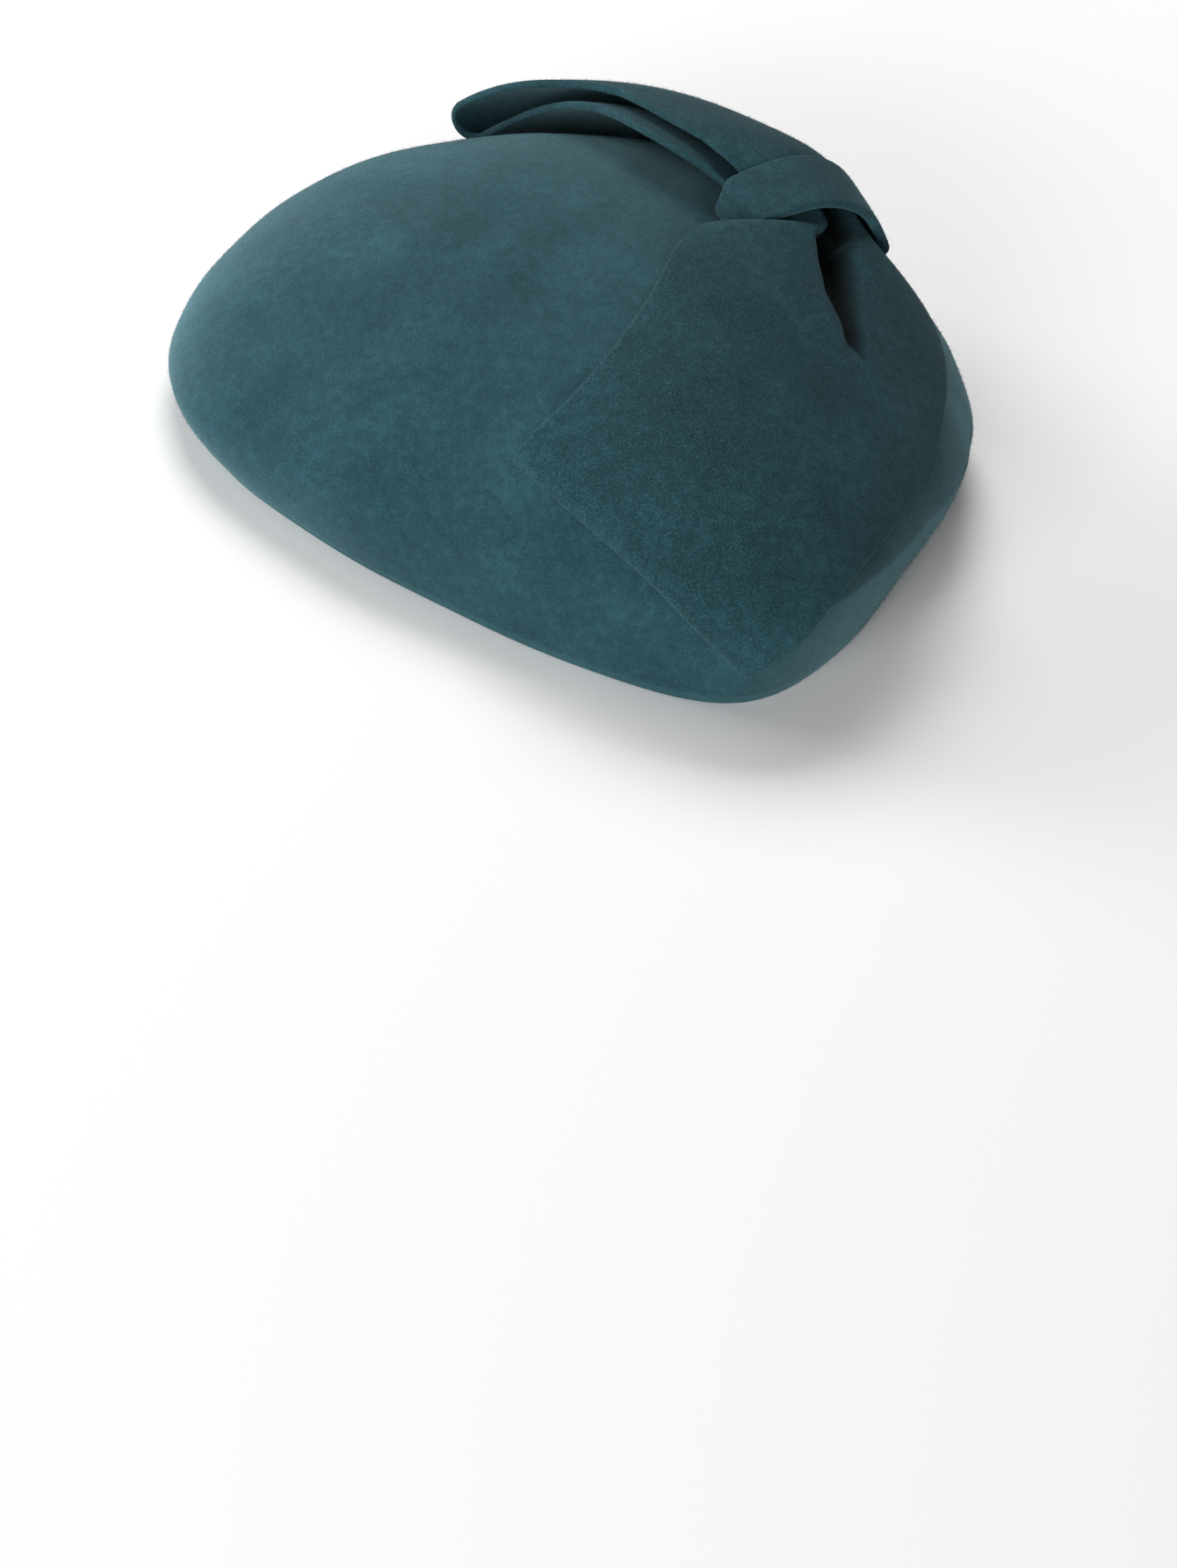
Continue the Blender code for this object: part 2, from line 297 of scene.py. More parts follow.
@dataclass(frozen=True)
class VelourFelt:
    """Wool velour felt: fulled wool, brushed up to a soft matt nap that pales where it is seen edge on.

    The dye takes unevenly, so the colour drifts softly over a few centimetres, and single fibres that
    catch the light show as fine pale specks. Hex values are sRGB.
    """

    name: str
    deep: str = "#142d34"
    body: str = "#1b3a42"
    bloom: str = "#264a52"
    fibre: str = "#466c73"
    # Near-black colour that paints shade into the pleat's hollow.
    hollow: str = "#020405"
    drift: float = 26 * MM
    cloud: float = 2.6 * MM
    grain: float = 0.6 * MM
    speck: float = 0.25 * MM
    relief: float = 0.20 * MM
    sheen: float = 0.34
    sheen_tint: str = "#9ccbd4"
    sheen_roughness: float = 0.45
    roughness: float = 0.92
    specular: float = 0.18
    speck_share: float = 0.35
    drift_share: float = 0.36
    cloud_share: float = 0.32
    grain_share: float = 0.32
    cloud_relief: float = 0.5

    def material(self) -> bpy.types.Material:
        """Builds the felt's material.

        Returns:
            A material that reads Object coordinates and the piece's cut_edge and crease attributes; crease
            paints shade by darkening the colour towards the hollow colour.
        """
        material = bpy.data.materials.new(self.name)
        material.use_nodes = True
        tree = material.node_tree
        shader = tree.nodes["Principled BSDF"]
        shader.inputs["Roughness"].default_value = self.roughness
        shader.inputs["Specular IOR Level"].default_value = self.specular
        shader.inputs["Sheen Weight"].default_value = self.sheen
        shader.inputs["Sheen Roughness"].default_value = self.sheen_roughness
        shader.inputs["Sheen Tint"].default_value = linear(self.sheen_tint)
        place = add_node(tree, "ShaderNodeTexCoord").outputs["Object"]
        drift = self.noise(tree, place, self.drift, 2.0)
        cloud = self.noise(tree, place, self.cloud, 3.0)
        grain = self.noise(tree, place, self.grain, 3.0)
        tone = add_node(tree, "ShaderNodeMath", {"operation": "MULTIPLY"},
                        in_0=drift, in_1=self.drift_share)
        for patches, share in ((cloud, self.cloud_share), (grain, self.grain_share)):
            tone = add_node(tree, "ShaderNodeMath", {"operation": "MULTIPLY_ADD"},
                            in_0=patches, in_1=share, in_2=tone.outputs[0])
        ramp = add_node(tree, "ShaderNodeValToRGB", Fac=tone.outputs[0])
        ramp.color_ramp.elements[0].position = 0.36
        ramp.color_ramp.elements[0].color = linear(self.deep)
        ramp.color_ramp.elements[1].position = 0.64
        ramp.color_ramp.elements[1].color = linear(self.bloom)
        middle = ramp.color_ramp.elements.new(0.50)
        middle.color = linear(self.body)
        fine = self.noise(tree, place, self.speck, 1.0)
        lit = add_node(tree, "ShaderNodeMapRange", Value=fine, From_Min=0.56, From_Max=0.74,
                       To_Max=self.speck_share)
        specked = self.mix(tree, lit.outputs[0], ramp.outputs["Color"], linear(self.fibre))
        edge = add_node(tree, "ShaderNodeAttribute", {"attribute_name": "cut_edge"}).outputs["Fac"]
        cut = self.mix(tree, edge, specked, linear(self.fibre))
        # Painted shade: the crease attribute darkens the colour towards the hollow colour in the pleat's
        # hollow.
        painted_shade = add_node(tree, "ShaderNodeAttribute", {"attribute_name": "painted_shade"}).outputs["Fac"]
        coloured = self.mix(tree, painted_shade, cut, linear(self.hollow))
        tree.links.new(coloured, shader.inputs["Base Color"])
        pile = add_node(tree, "ShaderNodeMath", {"operation": "MULTIPLY_ADD"},
                        in_0=cloud, in_1=self.cloud_relief, in_2=grain)
        bump = add_node(tree, "ShaderNodeBump", Strength=0.85, Distance=self.relief,
                        Height=pile.outputs[0])
        tree.links.new(bump.outputs["Normal"], shader.inputs["Normal"])
        return material

    @staticmethod
    def noise(tree: bpy.types.NodeTree, place: bpy.types.NodeSocket, size: float,
              detail: float) -> bpy.types.NodeSocket:
        """A noise whose patches are about size across.

        Args:
            tree: The material's tree.
            place: Coordinates to read.
            size: Width of a patch in metres.
            detail: Octaves of finer noise.

        Returns:
            The noise's value socket.
        """
        node = add_node(tree, "ShaderNodeTexNoise", Vector=place, Scale=1 / size, Detail=detail,
                        Roughness=0.6)
        return node.outputs["Fac"]

    @staticmethod
    def mix(tree: bpy.types.NodeTree, share: bpy.types.NodeSocket, first: bpy.types.NodeSocket,
            second: tuple[float, ...]) -> bpy.types.NodeSocket:
        """Mixes two colours by a share.

        Args:
            tree: The material's tree.
            share: Share of the second colour.
            first: First colour.
            second: Second colour.

        Returns:
            The mixed colour's socket.
        """
        node = add_node(tree, "ShaderNodeMix", {"data_type": "RGBA"},
                        in_0=share, in_6=first, in_7=second)
        return node.outputs[2]


@dataclass(frozen=True)
class RaisedNap:
    """The brushed-up fibres that soften a felt's outline, drawn a little thicker than real wool."""

    length: float = 0.75 * MM
    root_radius: float = 0.030 * MM
    lean: float = 1.05
    per_square_metre: float = 700_000.0
    shortest: float = 0.45
    longest: float = 1.25
    seed: int = 7

    def tree(self, material: bpy.types.Material) -> bpy.types.NodeTree:
        """Builds the Geometry Nodes tree that plants the fibres.

        Args:
            material: The fibres' material.

        Returns:
            The tree, with named inputs for the fibre's sizes.
        """
        tree = bpy.data.node_groups.new("raised_nap", "GeometryNodeTree")
        panel = tree.interface
        panel.new_socket("Geometry", in_out="INPUT", socket_type="NodeSocketGeometry")
        for label in ("Fibre length", "Root radius", "Lean", "Fibres per square metre"):
            panel.new_socket(label, in_out="INPUT", socket_type="NodeSocketFloat")
        panel.new_socket("Seed", in_out="INPUT", socket_type="NodeSocketInt")
        panel.new_socket("Geometry", in_out="OUTPUT", socket_type="NodeSocketGeometry")
        given = add_node(tree, "NodeGroupInput").outputs
        cover = add_node(tree, "GeometryNodeInputNamedAttribute", {"data_type": "FLOAT"}, Name="nap_cover")
        density = add_node(tree, "ShaderNodeMath", {"operation": "MULTIPLY"},
                           in_0=given["Fibres per square metre"], in_1=cover.outputs["Attribute"])
        spots = add_node(tree, "GeometryNodeDistributePointsOnFaces", Mesh=given["Geometry"],
                         Density=density.outputs[0], Seed=given["Seed"])
        fibre = add_node(tree, "GeometryNodeMeshCone", {"fill_type": "NONE"}, Vertices=3,
                         Radius_Top=0.0, Radius_Bottom=given["Root radius"], Depth=given["Fibre length"])
        low = add_node(tree, "ShaderNodeMath", {"operation": "MULTIPLY"}, in_0=given["Lean"], in_1=-1.0)
        least = add_node(tree, "ShaderNodeCombineXYZ", X=low.outputs[0], Y=low.outputs[0], Z=-math.pi)
        most = add_node(tree, "ShaderNodeCombineXYZ", X=given["Lean"], Y=given["Lean"], Z=math.pi)
        tilt = add_node(tree, "FunctionNodeRandomValue", {"data_type": "FLOAT_VECTOR"},
                        in_0=least.outputs[0], in_1=most.outputs[0], Seed=given["Seed"])
        tilt = add_node(tree, "FunctionNodeEulerToRotation", Euler=tilt.outputs[0])
        turned = add_node(tree, "FunctionNodeRotateRotation", {"rotation_space": "LOCAL"},
                          Rotation=spots.outputs["Rotation"], Rotate_By=tilt.outputs[0])
        size = add_node(tree, "FunctionNodeRandomValue", {"data_type": "FLOAT"},
                        in_2=self.shortest, in_3=self.longest, Seed=given["Seed"])
        planted = add_node(tree, "GeometryNodeInstanceOnPoints", Points=spots.outputs["Points"],
                           Instance=fibre.outputs["Mesh"], Rotation=turned.outputs[0],
                           Scale=size.outputs[1])
        real = add_node(tree, "GeometryNodeRealizeInstances", Geometry=planted.outputs[0])
        dressed = add_node(tree, "GeometryNodeSetMaterial", Geometry=real.outputs[0], Material=material)
        done = add_node(tree, "NodeGroupOutput")
        tree.links.new(dressed.outputs[0], done.inputs[0])
        return tree

    def grow(self, piece: bpy.types.Object, tree: bpy.types.NodeTree, name: str) -> bpy.types.Object:
        """Plants the fibres on a piece and makes them a plain mesh.

        Args:
            piece: The felt piece.
            tree: The tree from tree().
            name: The nap's own name.

        Returns:
            The nap as an object at the origin.
        """
        modifier = piece.modifiers.new("raised_nap", "NODES")
        modifier.node_group = tree
        wanted = {"Fibre length": self.length, "Root radius": self.root_radius, "Lean": self.lean,
                  "Fibres per square metre": self.per_square_metre, "Seed": self.seed}
        for item in tree.interface.items_tree:
            if item.in_out == "INPUT" and item.name in wanted:
                modifier[item.identifier] = wanted[item.name]
        evaluated = piece.evaluated_get(bpy.context.evaluated_depsgraph_get())
        mesh = bpy.data.meshes.new_from_object(evaluated)
        piece.modifiers.remove(modifier)
        mesh.name = name
        nap = bpy.data.objects.new(name, mesh)
        bpy.context.scene.collection.objects.link(nap)
        return nap


@dataclass
class Crown:
    """The blocked body: one hollow shell of felt over a rounded block, open below."""

    felt: float = 1.8 * MM
    rim_reach: float = 88 * MM
    height: float = 63 * MM
    girth_height: float = 22 * MM
    tuck: float = 8 * MM
    set_back: float = 17 * MM
    dome_power: float = 1.28
    turns: int = 240
    side_rows: int = 22
    dome_rows: int = 96
    rim_rows: int = 6
    first_row: float = 0.03
    dome_spacing: float = 0.92
    rim_roundness: float = 0.6
    rim_paleness: float = 0.2
    waver: float = 0.30 * MM
    long_wave: float = 52 * MM
    short_wave: float = 27 * MM
    # The waver starts at the first height above the rim and is full after the second further up.
    waver_fade: tuple[float, float] = (4 * MM, 10 * MM)
    # Felt laid over the crown bridges its bends, so its normals are read over this distance.
    bridge: float = 9 * MM
    shift: np.ndarray = field(default_factory=lambda: np.zeros(3))

    def around(self, column: str, turn: np.ndarray) -> np.ndarray:
        """Reads a column of the plan at any direction; both sides of the point are alike.

        Args:
            column: The column's name.
            turn: Directions from the point, in radians.

        Returns:
            The column's value at each direction.
        """
        half = [(row.turn, getattr(row, column)) for row in CROWN_PLAN]
        ring = half + [(360 - t, v) for t, v in reversed(half[1:-1])]
        knots = [t + lap for lap in (-360, 0, 360) for t, _ in ring]
        values = [v for _ in range(3) for _, v in ring]
        return spline(knots, values, np.mod(np.degrees(turn), 360))

    def point(self, turn: np.ndarray, climb: np.ndarray) -> np.ndarray:
        """The outside of the crown: climb 0 is the rim, 1 the girth and 2 the top.

        Args:
            turn: Directions from the point, in radians.
            climb: Places up the side and dome.

        Returns:
            Places from the middle of the rim.
        """
        turn, climb = np.asarray(turn, float), np.asarray(climb, float)
        tuck = self.tuck * self.around("tuck", turn)
        girth = self.girth_height * self.around("girth", turn)
        full = self.rim_reach * self.around("reach", turn) + tuck
        side, dome = np.clip(climb, 0, 1), np.clip(climb - 1, 0, 1) * math.pi / 2
        rise = np.sin(dome) ** self.dome_power
        radius = (full - tuck * (1 - side) ** 2) * np.cos(dome)
        height = girth * side + (self.height - girth) * rise
        across, along = radius * np.sin(turn), self.set_back * rise - radius * np.cos(turn)
        return np.stack(np.broadcast_arrays(across, along, height), -1)

    def on_map(self, x: np.ndarray, y: np.ndarray) -> np.ndarray:
        """The outside at a place measured along the felt from the crown's middle.

        Args:
            x: Distances across.
            y: Distances along, positive to the back.

        Returns:
            Places from the middle of the rim.
        """
        turn, distance = np.arctan2(x, -y), np.hypot(x, y)
        climbs = np.linspace(2, 0, 121)
        line = self.point(turn[:, None], climbs[None, :])
        steps = np.linalg.norm(np.diff(line, axis=1), axis=2)
        walked = np.concatenate([np.zeros((len(x), 1)), np.cumsum(steps, axis=1)], axis=1)
        place = np.array([np.interp(d, w, climbs) for d, w in zip(distance, walked)])
        past = np.maximum(distance - walked[:, -1], 0)[:, None]
        ahead = (line[:, -1] - line[:, -2]) / steps[:, -1:]
        return self.point(turn, place) + past * ahead

    def above(self, x: np.ndarray, y: np.ndarray, lift: np.ndarray) -> np.ndarray:
        """Points lifted off the felt at places on the map.

        Args:
            x: Distances across.
            y: Distances along.
            lift: Heights above the felt.

        Returns:
            Places from the middle of the rim.
        """
        x, y, lift = (np.asarray(a, float).ravel() for a in np.broadcast_arrays(x, y, lift))
        step = self.bridge
        over = self.on_map(x + step, y) - self.on_map(x - step, y)
        up = self.on_map(x, y + step) - self.on_map(x, y - step)
        return self.on_map(x, y) + lift[:, None] * unit(np.cross(over, up))

    def settle(self, low: Vector) -> None:
        """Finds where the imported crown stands, from its lowest corner.

        Args:
            low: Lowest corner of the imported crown.
        """
        turn = np.linspace(0, 2 * math.pi, 361)[:, None]
        outline = self.point(turn, np.linspace(0, 2, 81)[None, :]).reshape(-1, 3)
        self.shift = np.array(low) - outline.min(axis=0)
        LOG.info("the hat's middle lies %.2f mm behind the origin", self.shift[1] / MM)

    def build(self) -> bpy.types.Object:
        """Builds the shell with its raw-cut rim.

        Returns:
            The crown's mesh object.
        """
        turns = np.linspace(0, 2 * math.pi, self.turns, endpoint=False)[None, :]
        side = np.linspace(self.first_row, 1, self.side_rows)
        dome = 1 + np.linspace(0, 1, self.dome_rows + 1)[1:] ** self.dome_spacing
        climbs = np.concatenate([side, dome[:-1]])[:, None]
        outer = self.point(turns, climbs)
        step = 1e-3
        forward = self.point(turns + step, climbs) - self.point(turns - step, climbs)
        upward = self.point(turns, climbs + step) - self.point(turns, climbs - step)
        normal = unit(np.cross(forward, upward))
        still, over = self.waver_fade
        fade = np.clip((outer[..., 2:] - still) / over, 0, 1)
        outer = outer + normal * self.unevenness(outer)[..., None] * fade
        inner = outer - self.felt * normal
        inner[0, :, 2] = outer[0, :, 2]
        middle, half = (outer[0] + inner[0]) / 2, (outer[0] - inner[0]) / 2
        rows = [*inner[::-1]]
        for k in range(1, self.rim_rows):
            angle = math.pi * (1 - k / self.rim_rows)
            reach = math.copysign(abs(math.cos(angle)) ** self.rim_roundness, math.cos(angle))
            edge = middle + half * reach
            edge[:, 2] = outer[0, :, 2] * (1 - math.sin(angle) ** self.rim_roundness)
            rows.append(edge)
        rows += [*outer]
        grid = np.array(rows)
        count = len(grid) * self.turns
        top = np.array([[0, self.set_back, self.height], [0, self.set_back, self.height - self.felt]])
        top[:, 2] += self.unevenness(top[:1])[0]
        points = np.concatenate([grid.reshape(-1, 3), top]) + self.shift
        faces = grid_faces(len(grid), self.turns, False, True)
        last = count - self.turns
        for j in range(self.turns):
            k = (j + 1) % self.turns
            faces.append((last + j, last + k, count))
            faces.append((k, j, count + 1))
        inside = len(inner)
        edge = np.zeros((len(grid), self.turns))
        edge[inside - 1:inside + self.rim_rows + 1] = self.rim_paleness
        nap = np.zeros((len(grid), self.turns))
        nap[inside + self.rim_rows + 1:] = 1
        edge, nap = (np.concatenate([a.ravel(), [0, 0]]) for a in (edge, nap))
        return new_piece("crown_felt_shell", points, faces, edge, nap, 0 * edge)

    def unevenness(self, points: np.ndarray) -> np.ndarray:
        """The slight waver that hand blocking leaves in the felt.

        Args:
            points: Places on the crown.

        Returns:
            How far the felt stands out or in at each place.
        """
        x, y, z = points[..., 0], points[..., 1], points[..., 2]
        long, short = 2 * math.pi / self.long_wave, 2 * math.pi / self.short_wave
        return self.waver * (np.sin(long * x + 1.3) * np.cos(long * y * 0.8 + 0.4)
                             + 0.6 * np.sin(short * (y + 0.5 * z) + 2.1) * np.cos(short * (x - 0.4 * z)))


@dataclass(frozen=True)
class PleatProfile:
    """The pleat's cross section, in its own half widths from its middle, with the left below 0.

    The fade is the share of a loop's run over which the pleat ends beyond the knot.
    """

    dip_left: float = -1.25
    dip_left_slope: float = 0.6
    dip_right: float = 1.9
    dip_right_slope: float = 1.0
    lip: float = -1.45
    floor: float = -0.35
    spread: float = 0.55
    # Where the painted shade lies across the pleat's hollow, and how strong it is.
    shade_left: float = -1.2
    shade_left_slope: float = 0.4
    shade_right: float = 2.1
    shade_right_slope: float = 0.9
    shade_strength: float = 1.5
    fade: float = 0.04

    def ends(self, run: np.ndarray) -> np.ndarray:
        """How much of the pleat is left at each place: 1 in the near loop and 0 in the far one."""
        return np.clip((self.fade - run) / self.fade, 0, 1)


@dataclass
class Bow:
    """One flat strip of felt, joined into a ring and folded into two loops over the crown."""

    crown: Crown
    profile: PleatProfile = PleatProfile()
    felt: float = 1.8 * MM
    width: float = 75 * MM
    near_reach: float = 108 * MM
    far_reach: float = 88 * MM
    puff: float = 9 * MM
    seat: float = 1.3 * MM
    clear: float = 0.6 * MM
    knot_across: float = 0.403
    knot_along: float = -0.153
    knot_turn: float = math.radians(14.4)
    fold_bulge: float = 4.3 * MM
    bulge_from: float = 0.5
    near_end: float = 0.955
    far_end: float = 0.985
    near_roll: float = 2.8
    far_roll: float = 1.2
    upper_slide: float = 5.0 * MM
    lip_slide: float = 2.6 * MM
    floor_slide: float = 3.0 * MM
    tuck_under: float = 4.5 * MM
    pleat_place: float = 0.05
    pleat_share: float = 0.13
    pleat_span: float = 2.6
    pleat_packing: float = 2.5
    packing_spread: float = 0.28
    look_back: float = 0.01
    run_steps: int = 84
    fold_steps: int = 12
    flat_columns: int = 81
    edge_share: float = 0.022
    edge_columns: int = 4

    def column(self, name: str, run: np.ndarray) -> np.ndarray:
        """One column of the bow's tables, with the near loop at negative runs.

        Args:
            name: The column's name.
            run: Places between the folds, -1 to 1.

        Returns:
            The column's value at each place.
        """
        rows = [(-row.run, row, self.near_reach) for row in reversed(NEAR_LOOP)]
        rows += [(0.0, WAIST, self.near_reach)]
        rows += [(row.run, row, self.far_reach) for row in FAR_LOOP]
        scale = name in ("across", "along")
        values = [getattr(row, name) * (reach if scale else 1) for _, row, reach in rows]
        return spline([place for place, _, _ in rows], values, run)

    def layer(self, run: np.ndarray, share: np.ndarray, face: Face) -> tuple[np.ndarray, ...]:
        """Place and lift of a layer's middle surface, given from the knot.

        Args:
            run: Places between the folds, -1 to 1.
            share: Places across the strip, -1 to 1.
            face: The upper or the lower layer.

        Returns:
            Distances across and along, and lifts above the crown.
        """
        run, share = np.broadcast_arrays(np.asarray(run, float), np.asarray(share, float))
        half = self.column("width", run) * self.width / 2
        swing = np.radians(self.column("swing", run))
        past = np.clip((-run - self.bulge_from) / (1 - self.bulge_from), 0, 1)
        bulge = self.fold_bulge * (1 - share ** 2) * past ** 2
        across = self.column("across", run) + share * half * np.cos(swing) + bulge * np.sin(swing)
        along = self.column("along", run) + share * half * np.sin(swing) - bulge * np.cos(swing)
        bands = np.clip(self.column("bands", run), 0, 1) * (self.felt + self.clear)
        under = self.puff * np.maximum(self.column("under", run), 0) * (1 - share) / 2
        low = self.seat + self.felt / 2 + bands + under
        if face is Face.LOWER:
            tucked = self.tuck_under * np.interp(run, *zip(*TUCK)) * (1 - share) / 2
            return across + tucked, along, low
        arch = self.puff * np.maximum(self.column("crest", run), 0) * (1 - share ** 2)
        closed = low + self.felt + self.clear
        dip, slide = self.pleat(run, share, half)
        pushed = np.interp(run, *zip(*SLIDE))
        slide = slide + self.upper_slide * pushed * (1 - share) / 2
        high = closed + (self.puff * self.column("open", run) + arch) * (1 - dip)
        return across + slide * np.cos(swing), along + slide * np.sin(swing), high

    def pleat(self, run: np.ndarray, share: np.ndarray, half: np.ndarray) -> tuple[np.ndarray, np.ndarray]:
        """The pleat that runs out of the knot into the near loop, under an overhanging left lip.

        Args:
            run: Places between the folds.
            share: Places across the strip.
            half: Half the strip's width there.

        Returns:
            The share of the loop's height that the upper layer loses, and how far it slides to the right.
        """
        profile = self.profile
        depth = self.pleat_column("depth", run) * profile.ends(run)
        place = self.pleat_offset(run, share, half)
        left = np.clip((place - profile.dip_left) / profile.dip_left_slope, 0, 1)
        right = np.clip((profile.dip_right - place) / profile.dip_right_slope, 0, 1)
        dip = (left * left * (3 - 2 * left)) * (right * right * (3 - 2 * right)) * depth
        lip = np.exp(-((place - profile.lip) / profile.spread) ** 2)
        floor = np.exp(-((place - profile.floor) / profile.spread) ** 2)
        return dip, depth * (self.lip_slide * lip - self.floor_slide * floor)

    def pleat_offset(self, run: np.ndarray, share: np.ndarray, half: np.ndarray) -> np.ndarray:
        """How far each place lies from the pleat's middle.

        Args:
            run: Places between the folds.
            share: Places across the strip.
            half: Half the strip's width there.

        Returns:
            Distances in the pleat's half widths, below 0 to its left.
        """
        return (share - self.pleat_column("middle", run)) * half / self.pleat_column("half_width", run)

    def painted_shade(self, run: float, share: np.ndarray) -> np.ndarray:
        """How much painted shade darkens each place in the pleat's hollow.

        Args:
            run: Place between the folds.
            share: Places across the strip.

        Returns:
            0 on the open felt, up to 1 of painted shade at the bottom of the hollow.
        """
        profile = self.profile
        place = self.pleat_offset(run, share, self.column("width", run) * self.width / 2)
        left = np.clip((place - profile.shade_left) / profile.shade_left_slope, 0, 1)
        right = np.clip((profile.shade_right - place) / profile.shade_right_slope, 0, 1)
        depth = np.clip(profile.shade_strength * self.pleat_column("depth", run), 0, 1)
        return left * right * right * (3 - 2 * right) * depth * profile.ends(run)

    @staticmethod
    def pleat_column(name: str, run: np.ndarray) -> np.ndarray:
        """Reads a column of the pleat's table.

        Args:
            name: The column's name.
            run: Places between the folds.

        Returns:
            The column's value at each place.
        """
        return np.interp(-run, [row.run for row in PLEAT], [getattr(row, name) for row in PLEAT])

    def from_knot(self, across: np.ndarray, along: np.ndarray, lift: np.ndarray) -> np.ndarray:
        """Places of points given from the knot.

        Args:
            across: Distances across the bow's axis.
            along: Distances along it, positive to the back.
            lift: Heights above the crown.

        Returns:
            Places from the middle of the rim.
        """
        c, s = math.cos(self.knot_turn), math.sin(self.knot_turn)
        x = self.knot_across * self.crown.rim_reach + across * c - along * s
        y = self.knot_along * self.crown.rim_reach + across * s + along * c
        return self.crown.above(x, y, lift)

    def fold_rows(self, end: float, shares: np.ndarray) -> list[tuple[np.ndarray, ...]]:
        """The turn from the upper to the lower layer at a loop's fold.

        Args:
            end: The run at the fold, below 0 for the near one.
            shares: Places across the strip.

        Returns:
            Rows of distances across and along, and lifts.
        """
        across, along, low = self.layer(end, shares, Face.LOWER)
        over, ahead, high = self.layer(end, shares, Face.UPPER)
        swing = math.radians(float(self.column("swing", end)))
        heading = np.array([-math.sin(swing), math.cos(swing)]) * math.copysign(1, end)
        roll = self.near_roll if end < 0 else self.far_roll
        behind, after, _ = self.layer(end - math.copysign(self.look_back, end), shares, Face.UPPER)
        onward = np.stack([over - behind, ahead - after])
        onward = onward / (onward.T @ heading)
        rows = []
        for step in range(1, self.fold_steps):
            angle = math.pi * (0.5 - step / self.fold_steps)
            out = roll * (high - low) / 2 * math.cos(angle)
            rise = (1 + math.sin(angle)) / 2
            rows.append((across + (over - across) * rise + out * onward[0],
                         along + (ahead - along) * rise + out * onward[1], low + (high - low) * rise))
        return rows

    def shares(self) -> np.ndarray:
        """Spaces the columns across the strip, close together at the cut edges and the pleat.

        Returns:
            Places across the strip, -1 to 1.
        """
        inner = 1 - self.edge_share
        ends = 1 - self.edge_share * (1 - np.linspace(0, 1, self.edge_columns + 1)[1:]) ** 1.5
        fine = np.linspace(-inner, inner, 2001)
        crowd = np.exp(-((fine - self.pleat_place) / self.packing_spread) ** 2)
        packed = np.cumsum(1 + self.pleat_packing * crowd)
        flat = np.interp(np.linspace(packed[0], packed[-1], self.flat_columns), packed, fine)
        return np.concatenate([-ends[::-1], flat, ends])

    def follow_pleat(self, run: float, shares: np.ndarray) -> np.ndarray:
        """Moves the places across the strip so that each column keeps its place on the pleat.

        Args:
            run: Place between the folds.
            shares: Places across the strip at the pleat's own place.

        Returns:
            Places across the strip there.
        """
        middle = float(self.pleat_column("middle", run))
        half = float(self.column("width", run)) * self.width / 2
        there = self.pleat_span * float(self.pleat_column("half_width", run)) / half
        here = self.pleat_span * self.pleat_share
        return np.interp(shares, [-1, self.pleat_place - here, self.pleat_place + here, 1],
                         [-1, middle - there, middle + there, 1])

    def build(self) -> tuple[bpy.types.Object, float]:
        """Builds the bow.

        Returns:
            The bow's mesh object, and the strip's length in metres.
        """
        shares = self.shares()
        near, far = -self.near_end, self.far_end
        runs = np.linspace(near, far, 2 * self.run_steps + 1)
        rows = [self.layer(run, self.follow_pleat(run, shares), Face.UPPER) for run in runs]
        rows += self.fold_rows(far, self.follow_pleat(far, shares))
        rows += [self.layer(run, self.follow_pleat(run, shares), Face.LOWER) for run in runs[::-1]]
        rows += self.fold_rows(near, self.follow_pleat(near, shares))[::-1]
        across, along, lift = (np.array([row[k] for row in rows]).ravel() for k in range(3))
        grid = self.from_knot(across, along, lift).reshape(len(rows), len(shares), 3)
        ring = np.linalg.norm(np.roll(grid, -1, axis=0) - grid, axis=2).sum(axis=0)
        # Painted shade in the pleat's hollow, on the upper layer's rows only.
        painted_shade = np.zeros(grid.shape[:2])
        painted_shade[:len(runs)] = [self.painted_shade(run, self.follow_pleat(run, shares)) for run in runs]
        piece = felt_ring("bow_folded_strip", grid, self.felt, shares, self.edge_share,
                          self.crown.shift, painted_shade)
        return piece, float(ring.mean())


def felt_ring(name: str, middle: np.ndarray, felt: float, shares: np.ndarray,
              edge_share: float, shift: np.ndarray, painted_shade: np.ndarray | None = None) -> bpy.types.Object:
    """Thickens a ring of felt with softly rounded cut edges.

    Args:
        name: The piece's name.
        middle: Grid of middle points, rows round the ring and columns across it.
        felt: Thickness.
        shares: Places of the columns, -1 to 1.
        edge_share: Share of the half width over which the edge rounds off.
        shift: Where the middle of the rim lies.
        painted_shade: Painted shade at each middle point, by how deep it lies in a hollow, 0 to 1; the nap
            thins by as much.

    Returns:
        The mesh object.
    """
    forward = np.roll(middle, -1, axis=0) - np.roll(middle, 1, axis=0)
    sideways = np.gradient(middle, axis=1)
    normal = unit(np.cross(sideways, forward))
    into_edge = np.clip((np.abs(shares) - (1 - edge_share)) / edge_share, 0, 1)
    swell = (1 - into_edge ** 3) ** (1 / 3)
    offset = normal * (felt / 2 * swell)[None, :, None]
    outer, inner = middle + offset, middle - offset
    loop = np.concatenate([outer, inner[:, -2:0:-1]], axis=1)
    edge = np.concatenate([into_edge, into_edge[-2:0:-1]])
    edge = np.broadcast_to(CUT_PALENESS * edge, loop.shape[:2])
    faces = grid_faces(loop.shape[0], loop.shape[1], True, True)
    # The painted shade darkens the colour, and the nap thins by the same share.
    depth = np.zeros(middle.shape[:2]) if painted_shade is None else painted_shade
    depth = np.concatenate([depth, depth[:, -2:0:-1]], axis=1)
    return new_piece(name, loop.reshape(-1, 3) + shift, faces, edge, 1 - depth, depth)


